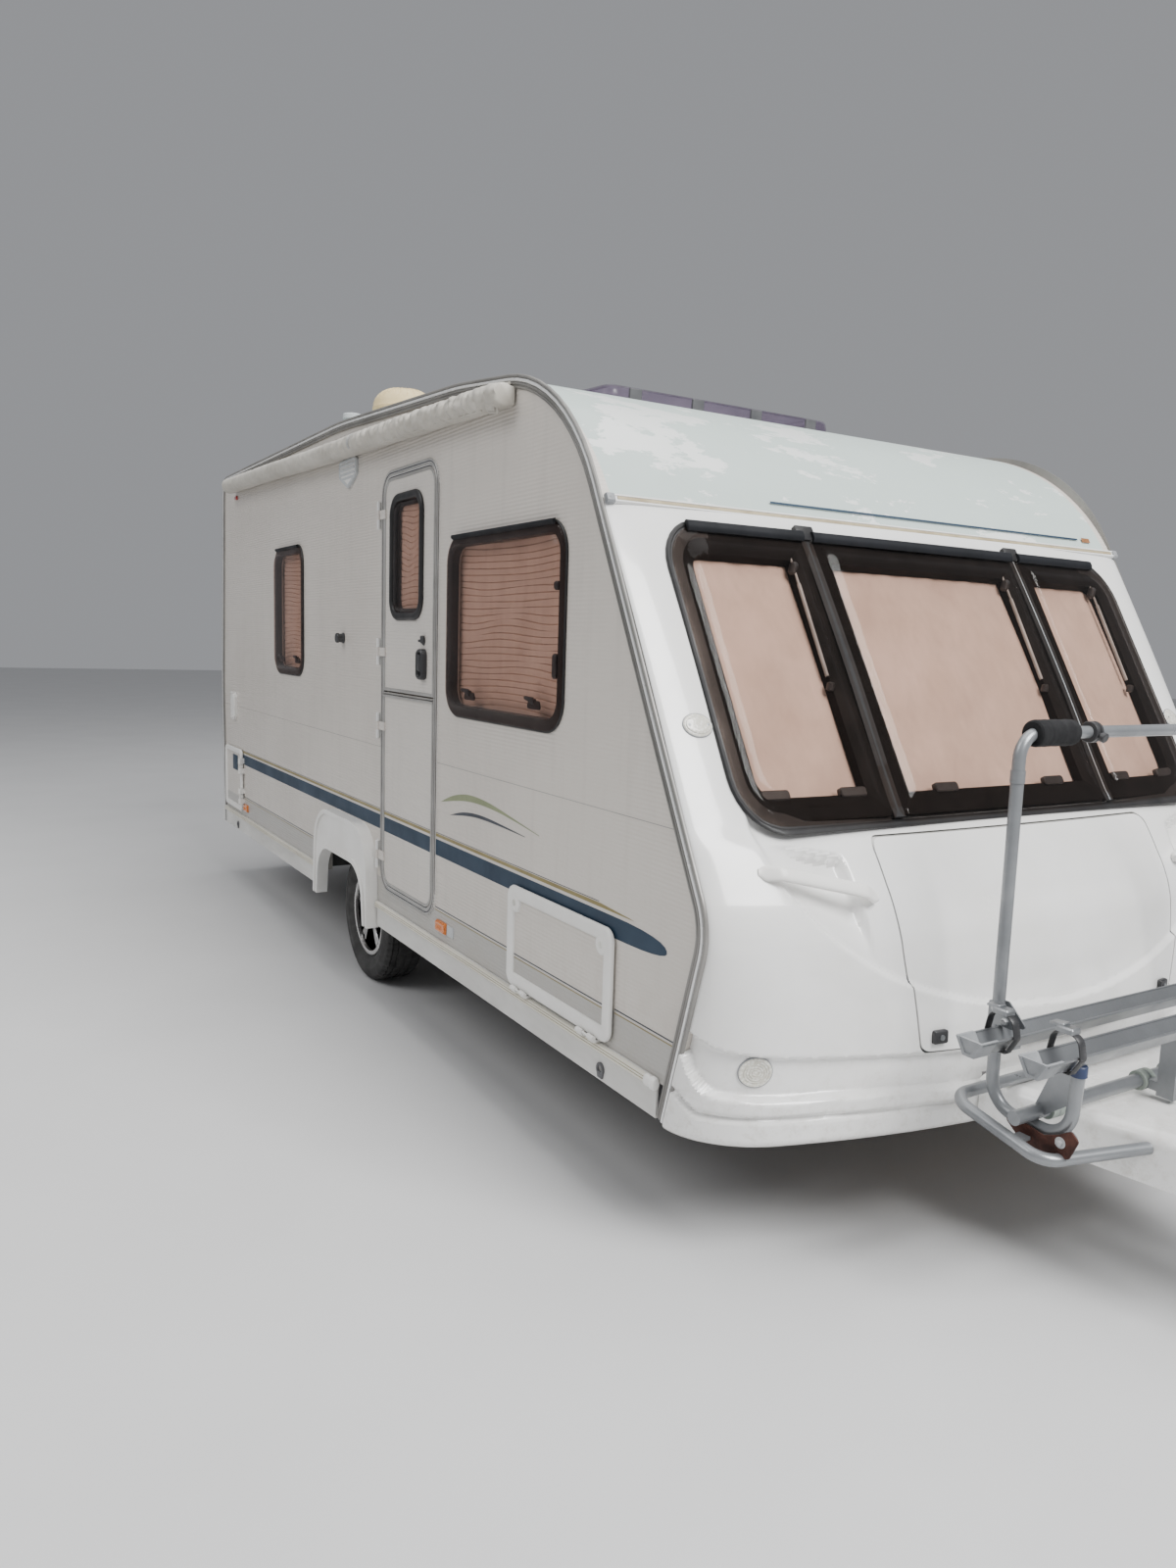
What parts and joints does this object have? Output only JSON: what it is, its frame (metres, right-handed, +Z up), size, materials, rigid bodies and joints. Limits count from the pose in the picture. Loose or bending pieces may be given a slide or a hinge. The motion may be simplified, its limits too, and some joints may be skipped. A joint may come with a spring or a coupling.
{
  "type": "travel caravan",
  "caption": "Single-axle touring caravan with a moulded front, split entrance door, side lockers, a tilting drawbar carrier and a rolled awning along the door side.",
  "frame": {"origin": "on the ground, at the middle of the caravan's length with its drawbar and of its body's width", "axes": "+Z up, -Y towards the coupling, -X towards the entrance door"},
  "size_m": [2.3403, 6.3199, 2.58],
  "materials": {
    "bag_cloth": "grey-white coated cloth",
    "black_steel": "satin black paint",
    "blind_cloth": "cream pleated cloth",
    "box_plastic": "black moulded plastic",
    "carrier_alu": "brushed, slightly oxidised",
    "carrier_tube": "light grey powder coat",
    "chassis_steel": "dull galvanised and road-stained",
    "clamp_plastic": "dark grey plastic",
    "clear_dome": "milky acrylic",
    "dark_rubber": "matte black rubber",
    "door_skin": "smooth off-white painted sheet",
    "edge_metal": "anodised with a white insert",
    "floor_ply": "dark coated ply",
    "front_moulding": "glossy white moulding",
    "galvanised_steel": "dull galvanised",
    "grey_moulding": "satin grey plastic",
    "handle_plastic": "dark plastic",
    "jockey_tyre": "solid rubber tyre",
    "lamp_lens": "coloured lens",
    "locker_ply": "light plywood",
    "rear_lamp_lens": "red lens",
    "rim_silver": "silver lacquer",
    "sandwich_wall": "smooth off-white painted sandwich sheet",
    "skirt_metal": "satin grey metal",
    "tinted_acrylic": "smoke-tinted acrylic",
    "tyre_rubber": "worn matte tread",
    "vent_plastic": "yellowed plastic",
    "white_frame": "white powder coat",
    "white_moulding": "white moulded plastic, slightly chalky"
  },
  "bodies": {
    "caravan_body": {"awning_bag": "bag_cloth", "axle_tube": "galvanised_steel", "carrier_base": "carrier_tube", "chassis_rail_door_side": "chassis_steel", "chassis_rail_far_side": "chassis_steel", "coupling_head": "black_steel", "cross_members": "chassis_steel", "door_frame": "white_frame", "door_side_wall": "sandwich_wall", "drawbar_cover": "white_moulding", "edge_trims": "edge_metal", "far_side_wall": "sandwich_wall", "floor_panel": "floor_ply", "front_panel": "front_moulding", "gas_locker_box": "locker_ply", "grab_handles": "grey_moulding", "handbrake_lever": "black_steel", "hatch_linings": "white_moulding", "jockey_clamp": "galvanised_steel", "marker_lamps": "lamp_lens", "rear_bumper": "white_moulding", "rear_lamps": "rear_lamp_lens", "rear_panel": "sandwich_wall", "roof_front_trim": "edge_metal", "roof_panel": "sandwich_wall", "roof_vents": "vent_plastic", "rooflight_frame": "white_moulding", "side_skirts": "skirt_metal", "steady_brackets": "galvanised_steel", "swing_arms": "black_steel", "wall_fittings": "white_moulding", "wheel_arch_spats": "front_moulding", "wheel_boxes": "box_plastic", "window_blinds": "blind_cloth", "window_panes": "tinted_acrylic", "window_seals": "dark_rubber"},
    "upper_door": {"upper_door": "door_skin", "door_window_seal": "dark_rubber", "door_window_pane": "tinted_acrylic", "door_handle": "handle_plastic"},
    "lower_door": {"lower_door": "door_skin"},
    "gas_locker_lid": {"gas_locker_lid": "front_moulding"},
    "side_locker_door": {"side_locker_door": "white_moulding"},
    "service_hatch_door": {"service_hatch_door": "white_moulding"},
    "rooflight_lid": {"rooflight_lid": "clear_dome"},
    "door_side_wheel": {"door_side_tyre": "tyre_rubber", "door_side_rim": "rim_silver"},
    "far_side_wheel": {"far_side_tyre": "tyre_rubber", "far_side_rim": "rim_silver"},
    "jockey_leg": {"jockey_leg": "galvanised_steel"},
    "jockey_fork": {"jockey_fork": "galvanised_steel"},
    "jockey_wheel": {"jockey_wheel": "jockey_tyre"},
    "front_door_side_steady": {"front_door_side_steady": "galvanised_steel"},
    "front_far_side_steady": {"front_far_side_steady": "galvanised_steel"},
    "rear_door_side_steady": {"rear_door_side_steady": "galvanised_steel"},
    "rear_far_side_steady": {"rear_far_side_steady": "galvanised_steel"},
    "carrier": {"carrier_frame": "carrier_tube", "carrier_rails": "carrier_alu", "carrier_clamps": "clamp_plastic"}
  },
  "joints": [
    {"name": "door_side_wheel_spin", "type": "hinge", "parent": "caravan_body", "child": "door_side_wheel", "pos_m": [-0.938, 0.69, 0.297], "axis": [1, 0, 0], "continuous": true},
    {"name": "far_side_wheel_spin", "type": "hinge", "parent": "caravan_body", "child": "far_side_wheel", "pos_m": [0.938, 0.69, 0.297], "axis": [1, 0, 0], "continuous": true},
    {"name": "upper_door_hinge", "type": "hinge", "parent": "caravan_body", "child": "upper_door", "pos_m": [-1.112, 0.3, 1.7], "axis": [0, 0, -1], "range_deg": [0, 172]},
    {"name": "lower_door_hinge", "type": "hinge", "parent": "caravan_body", "child": "lower_door", "pos_m": [-1.112, 0.3, 0.9], "axis": [0, 0, -1], "range_deg": [0, 130]},
    {"name": "gas_locker_lid_hinge", "type": "hinge", "parent": "caravan_body", "child": "gas_locker_lid", "pos_m": [0, -1.932, 1.07], "axis": [-1, 0, 0], "range_deg": [0, 15]},
    {"name": "side_locker_hinge", "type": "hinge", "parent": "caravan_body", "child": "side_locker_door", "pos_m": [-1.126, -1.2, 0.462], "axis": [0, -1, 0], "range_deg": [0, 160]},
    {"name": "service_hatch_hinge", "type": "hinge", "parent": "caravan_body", "child": "service_hatch_door", "pos_m": [-1.126, 2.619, 0.65], "axis": [0, 0, 1], "range_deg": [0, 150]},
    {"name": "rooflight_hinge", "type": "hinge", "parent": "caravan_body", "child": "rooflight_lid", "pos_m": [0, 0.26391, 2.44951], "axis": [-1, 0, 0], "range_deg": [0, 60]},
    {"name": "jockey_slide", "type": "slide", "parent": "caravan_body", "child": "jockey_leg", "axis": [0, 0, 1], "range_m": [-0.1, 0.095]},
    {"name": "jockey_swivel", "type": "hinge", "parent": "jockey_leg", "child": "jockey_fork", "pos_m": [0.15, -2.8, 0.235], "axis": [0, 0, 1], "continuous": true},
    {"name": "jockey_wheel_spin", "type": "hinge", "parent": "jockey_fork", "child": "jockey_wheel", "pos_m": [0.15, -2.77, 0.105], "axis": [1, 0, 0], "continuous": true},
    {"name": "front_door_side_steady_hinge", "type": "hinge", "parent": "caravan_body", "child": "front_door_side_steady", "pos_m": [-0.66, -1.457, 0.418], "axis": [0, -1, 0], "range_deg": [0, 80]},
    {"name": "front_far_side_steady_hinge", "type": "hinge", "parent": "caravan_body", "child": "front_far_side_steady", "pos_m": [0.66, -1.457, 0.418], "axis": [0, 1, 0], "range_deg": [0, 80]},
    {"name": "rear_door_side_steady_hinge", "type": "hinge", "parent": "caravan_body", "child": "rear_door_side_steady", "pos_m": [-0.66, 2.74, 0.418], "axis": [0, -1, 0], "range_deg": [0, 80]},
    {"name": "rear_far_side_steady_hinge", "type": "hinge", "parent": "caravan_body", "child": "rear_far_side_steady", "pos_m": [0.66, 2.74, 0.418], "axis": [0, 1, 0], "range_deg": [0, 80]},
    {"name": "carrier_tilt", "type": "hinge", "parent": "caravan_body", "child": "carrier", "pos_m": [0, -2.44, 0.458], "axis": [1, 0, 0], "range_deg": [0, 60]}
  ]
}
